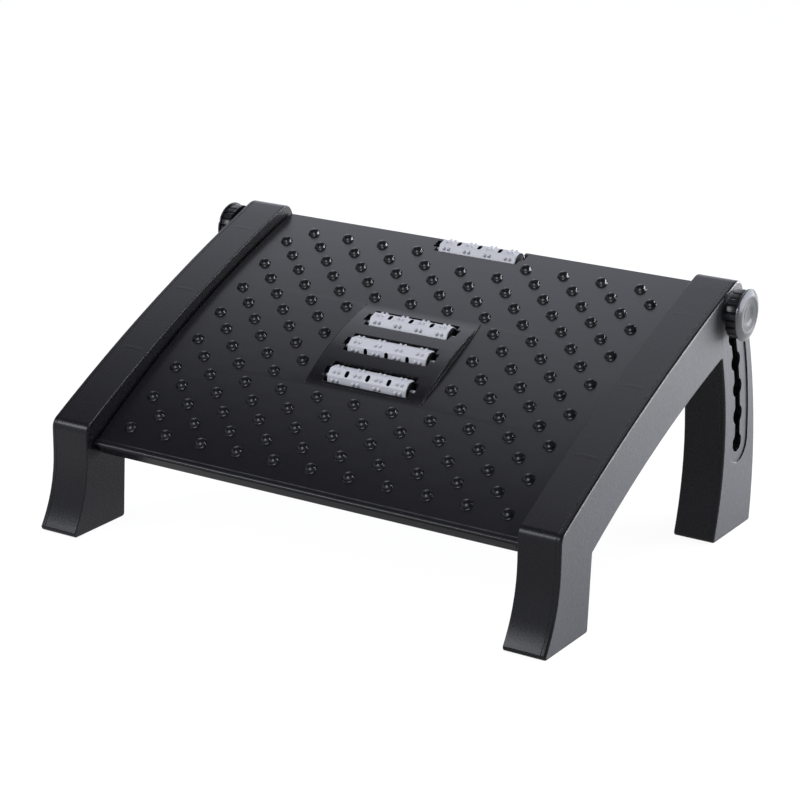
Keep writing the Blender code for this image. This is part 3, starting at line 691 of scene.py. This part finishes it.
def add_dome(bm, place, profile, sides, height):
    """A closed dome on its own local axes, Z out of the surface."""
    loops = [
        [bm.verts.new(place @ Vector((*spoke, lift))) for spoke in circle(radius, sides)]
        for radius, lift in profile
    ]
    skin(bm, loops)
    top = loops[-1]
    tip = bm.verts.new(place @ Vector((0.0, 0.0, height)))
    for i in range(sides):
        bm.faces.new((top[i], top[(i + 1) % sides], tip))
    bm.faces.new(list(reversed(loops[0])))


# Domes, wells, island and lip of the tread

tread_centre = tread_middle - turned(Vector((0.0, tread_radius)), tread_slope)


def tread_place(x, along):
    """Local axes on the tread's arc: X across, Y along it to the rear, Z out of it."""
    slope = tread_slope - along / tread_radius
    point = tread_centre + turned(Vector((0.0, tread_radius)), slope)
    return Matrix.Translation((x, *point)) @ Matrix.Rotation(slope, 4, "X")


def along_tread(point):
    """Place along the tread's arc of a point in the side view."""
    spoke = point - tread_centre
    return (tread_slope - math.atan2(-spoke.x, spoke.y)) * tread_radius


def make_wells(materials):
    """A dark trough under each roller, closed at its ends."""
    for name, _, _ in roller_turns:
        low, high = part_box("roller_" + name)
        centre = side_middle(low, high)
        slope = tread_slope - along_tread(centre) / tread_radius
        open_behind = name == "rear_edge"
        span = open_well_span if open_behind else well_span
        rise = turned(Vector((0.0, well_rise)), slope)
        outline = []
        for radius, order in ((well_radius, 1), (well_radius + well_wall, -1)):
            wall = [
                centre + turned(Vector((-radius, 0.0)), slope + span * step / well_steps)
                for step in range(well_steps + 1)
            ]
            wall.insert(0, wall[0] + rise)
            if not open_behind:
                wall.append(wall[-1] + rise)
            outline += wall[::order]
        half = stub_half_span + well_clearance
        face = outline[len(outline) // 2:]
        bm = bmesh.new()
        add_rings(bm, [outline_at(x, outline) for x in (-half, half)])
        for side in (-1, 1):
            add_rings(bm, [outline_at(side * x, face) for x in (half, half + well_wall)])
        new_piece("roller_well_" + name, bm, materials["tread"], "tilting_tread")


def make_island_edges(materials):
    """The rounded edges of the island, which catch a thin line of light."""
    bm = bmesh.new()
    middle = (island_front + island_rear) / 2
    for side in (-1, 1):
        rings = []
        for step in range(bead_steps + 1):
            share = step / bead_steps * 2 - 1
            along = middle + share * (island_rear - island_front) / 2
            lift = island_height * (1 - share * share) - bead_sunk
            place = tread_place(side * (island_half_width - bead_sunk), along)
            rings.append([
                place @ Vector((spoke.x, 0.0, spoke.y + lift))
                for spoke in circle(bead_radius, bead_sides)
            ])
        add_rings(bm, rings)
    return new_piece(
        "island_edges", bm, materials["knob"], "tilting_tread",
        smooth_below=math.pi,
    )


def make_lip(materials):
    """The rounded crest of the tread's front lip."""
    along, lift = lip_place
    middle = tread_place(0.0, along) @ Vector((0.0, 0.0, lift))
    ends = (-lip_half_length, lip_half_length)
    bm = bmesh.new()
    add_rings(bm, [ring_about_x(x, lip_radius, lip_sides, middle.yz) for x in ends])
    return new_piece("lip_crest", bm, materials["tread"], "tilting_tread")


def dome_places():
    """The staggered rows of domes, left out where the island and the rear window are."""
    guard = dome_radius + dome_clearance
    window_front = edge_roller_place - window_half_width
    places = []
    for row in range(dome_rows):
        along = ((dome_rows - 1) / 2 - row) * dome_pitch
        count = dome_counts[row % 2]
        for number in range(count):
            x = (number - (count - 1) / 2) * 2 * dome_pitch
            beside_island = abs(x) > island_half_width + guard
            beyond_island = not island_front - guard < along < island_rear + guard
            clear_of_window = abs(x) > stub_half_span or along + guard < window_front
            if (beside_island or beyond_island) and clear_of_window:
                places.append((x, along))
    return places


def make_domes(materials):
    bm = bmesh.new()
    profile = dome_profile(
        dome_radius, dome_height, dome_foot_radius, dome_foot_height, dome_sink, dome_rings,
    )
    for x, along in dome_places():
        add_dome(bm, tread_place(x, along), profile, dome_sides, dome_height)
    return new_piece(
        "dome_field", bm, materials["dome"], "tilting_tread",
        smooth_below=math.pi,
    )


# Rollers


def flattened(angle, phase):
    """The share of its radius that the barrel has at an angle.

    It has a flat under each row of nubs and is round between them.
    """
    row = math.tau / nub_rows
    off_row = (angle - math.pi / 2 - phase + row / 2) % row - row / 2
    return min(roller_flat_share / math.cos(off_row), 1.0)


def roller_barrel(phase):
    """The barrel with hollow ends and stub axles, as rings about the X axis."""
    half = roller_half_length
    floor = roller_recess - half
    stations = [
        (-stub_half_span, stub_radius - stub_round),
        (stub_round - stub_half_span, stub_radius),
        (floor, stub_radius),
        (floor, roller_radius - roller_rim),
        (-half, roller_radius - roller_rim),
        (-half, roller_radius - roller_chamfer),
        (roller_chamfer - half, roller_radius),
    ]
    stations += [(-x, radius) for x, radius in reversed(stations)]
    rings = []
    for x, radius in stations:
        ring = []
        for step in range(roller_sides):
            angle = math.tau * step / roller_sides
            share = flattened(angle, phase) if radius > stub_radius else 1.0
            ring.append(turned(Vector((radius * share, 0.0)), angle))
        rings.append(outline_at(x, ring))
    bm = bmesh.new()
    add_rings(bm, rings)
    return bm


def in_shadow(middle):
    """Whether a face of the barrel, by its middle, lies inside a slot or a hollow end, where it
    gets painted shade.
    """
    reach = middle.yz.length
    if abs(middle.x) < roller_half_length - roller_recess - stub_round:
        return reach < roller_radius * roller_flat_share - slot_mouth
    return stub_radius < reach < (roller_radius - roller_chamfer) * roller_flat_share


def subtract(target, tool):
    """Cuts the tool out of the target and deletes it."""
    modifier = target.modifiers.new("cut", "BOOLEAN")
    modifier.operation = "DIFFERENCE"
    modifier.solver = "EXACT"
    modifier.object = tool
    depsgraph = bpy.context.evaluated_depsgraph_get()
    mesh = bpy.data.meshes.new_from_object(target.evaluated_get(depsgraph))
    target.modifiers.clear()
    target.data = mesh
    bpy.data.objects.remove(tool)


def slot_outline():
    """A slot's outline, straight along X = 0 with round ends."""
    points = []
    straight = (slot_length - slot_width) / 2
    for end in (1, -1):
        for step in range(slot_round_steps + 1):
            angle = math.pi * step / slot_round_steps
            spoke = turned(Vector((slot_width / 2 * end, 0.0)), angle)
            points.append((spoke.x, spoke.y + straight * end))
    return points


def row_turn(row, phase):
    """Turns a row of nubs to its place about the roller's axis."""
    return Matrix.Rotation(math.tau * row / nub_rows + math.radians(phase), 4, "X")


def roller_nubs(phase):
    """The rows of nubs, two in each group."""
    bm = bmesh.new()
    surface = roller_radius * roller_flat_share
    profile = dome_profile(
        nub_radius, nub_height, nub_foot_radius, nub_foot_height, nub_sink, nub_rings,
    )
    for row in range(nub_rows):
        for group in range(nub_groups):
            middle = (group - (nub_groups - 1) / 2) * nub_group_pitch
            for side in (-nub_spacing / 2, nub_spacing / 2):
                lift = Matrix.Translation((middle + side, 0.0, surface))
                add_dome(bm, row_turn(row, phase) @ lift, profile, nub_sides, nub_height)
    return bm


def roller_slots(slot_row, phase):
    """The solids of the slots, which lie between the groups of two opposite rows."""
    bm = bmesh.new()
    for row in range(nub_rows):
        if row % (nub_rows // 2) != slot_row:
            continue
        for gap in range(nub_groups - 1):
            middle = (gap - (nub_groups - 2) / 2) * nub_group_pitch
            place = row_turn(row, phase) @ Matrix.Translation((middle, 0.0, roller_radius))
            add_rings(bm, [
                [place @ Vector((x, y, z)) for x, y in slot_outline()]
                for z in (-slot_depth, slot_depth)
            ])
    return bm


def make_roller(joint, node, slot_row, phase, materials):
    """A roller about the X axis through its joint, with rounded nubs and cut slots."""
    barrel = object_from(roller_barrel(math.radians(phase)), "barrel")
    subtract(barrel, object_from(roller_slots(slot_row, phase), "slots"))
    bm = bmesh.new()
    bm.from_mesh(barrel.data)
    bpy.data.objects.remove(barrel)
    # Faces inside the slots and hollow ends get the near-black painted shade
    for face in bm.faces:
        face.material_index = int(in_shadow(face.calc_center_median()))
    nubs = roller_nubs(phase)
    nub_mesh = bpy.data.meshes.new("nubs")
    nubs.to_mesh(nub_mesh)
    nubs.free()
    bm.from_mesh(nub_mesh)
    axis = Vector(joint["pos_m"])
    bm.transform(Matrix.Translation((0.0, axis.y, axis.z)))
    roller = new_piece(
        "fine_" + node, bm, materials["roller"], joint["child"], (node,),
    )
    # The second material paints shade into the slots and hollow ends
    roller.data.materials.append(materials["hollow"])
    return roller


# Knobs


def grip_radius(angle):
    """The grip's outline: broad ribs with narrow round flutes between them."""
    share = (angle / (math.tau / knob_flutes)) % 1.0
    if share > flute_share:
        return knob_radius
    return knob_radius - flute_depth * math.sin(math.pi * share / flute_share)


def make_knob(side, materials):
    """The fluted grip with rounded ends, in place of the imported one."""
    node = "knob_" + side
    low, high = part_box(node)
    middle = side_middle(low, high)
    points = knob_flutes * flute_points
    stations = [
        (low.x, knob_round),
        (low.x + knob_round_bend, knob_round_bend),
        (low.x + knob_round, 0.0),
    ]
    stations += [(low.x + high.x - x, inset) for x, inset in reversed(stations)]
    rings = []
    for x, inset in stations:
        ring = []
        for step in range(points):
            angle = math.tau * step / points
            ring.append(middle + turned(Vector((grip_radius(angle) - inset, 0.0)), angle))
        rings.append(outline_at(x, ring))
    bm = bmesh.new()
    add_rings(bm, rings)
    new_piece("fine_" + node, bm, materials["knob"], side + "_knob", (node,))


def make_cap(side, materials):
    """The silver cap: a rim, a crown and a shallow dish, turned about the knob's axis."""
    node = "knob_cap_" + side
    low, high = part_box(node)
    middle = side_middle(low, high)
    inner, outer = (low.x, high.x) if side == "right" else (high.x, low.x)
    bm = bmesh.new()
    add_rings(bm, [
        ring_about_x(inner + (outer - inner) * share, radius, cap_sides, middle)
        for share, radius in cap_profile
    ])
    return new_piece("fine_" + node, bm, materials["cap"], side + "_knob", (node,))


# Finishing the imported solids


def dress(node, material):
    """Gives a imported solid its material."""
    obj = frame["nodes"][node]
    obj.data.materials.clear()
    obj.data.materials.append(material)


def smooth_shading(obj):
    """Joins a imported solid's facets and shades them smoothly up to its sharp edges."""
    obj.data.polygons.foreach_set("use_smooth", [True] * len(obj.data.polygons))
    obj.modifiers.new("weld", "WELD").merge_threshold = weld_distance
    flat = obj.modifiers.new("flat", "DECIMATE")
    flat.decimate_type = "DISSOLVE"
    flat.angle_limit = coplanar
    obj.modifiers.new("sharp", "EDGE_SPLIT").split_angle = sharp
    obj.modifiers.new("even", "WEIGHTED_NORMAL").keep_sharp = True


def dress_solids(materials):
    for side in ("left", "right"):
        for node in ("side_frame_", "side_cover_"):
            dress(node + side, materials["frame"])
            smooth_shading(frame["nodes"][node + side])
        for node in ("pad_front_", "pad_rear_"):
            dress(node + side, materials["rubber"])
        for node in ("pivot_pin_", "clamp_bolt_"):
            dress(node + side, materials["steel"])
        for number in range(screws_per_cover):
            dress(f"cover_screw_{number + 1}_{side}", materials["steel"])
        dress("lock_collar_" + side, materials["knob"])
    dress("tread", materials["tread"])
    smooth_shading(frame["nodes"]["tread"])


def make_lights(domes, rollers, caps):
    """The soft boxes, made last, as most of them light or spare certain pieces."""
    tread = frame["nodes"]["tread"]
    shells = (frame["nodes"]["side_frame_left"], frame["nodes"]["side_frame_right"], tread)
    make_light("right_box", spared=caps)
    make_light("cap_box", only=caps)
    make_light("left_box", spared=(tread, domes))
    make_light("dome_box", only=(domes,))
    make_light("roller_box", only=rollers)
    make_light("edge_strip", only=shells)
    make_light("top_fill", mirrored=False)


def main():
    bpy.context.scene.view_settings.view_transform = "Standard"
    make_camera()
    make_world()
    make_floor()
    materials = make_materials()
    dress_solids(materials)
    domes = make_domes(materials)
    make_wells(materials)
    make_island_edges(materials)
    make_lip(materials)
    joints = {joint["child"]: joint for joint in frame["joints"]}
    rollers = [
        make_roller(joints[name + "_roller"], "roller_" + name, slot_row, phase, materials)
        for name, slot_row, phase in roller_turns
    ]
    caps = []
    for side in ("left", "right"):
        make_knob(side, materials)
        caps.append(make_cap(side, materials))
    make_lights(domes, rollers, caps)


main()
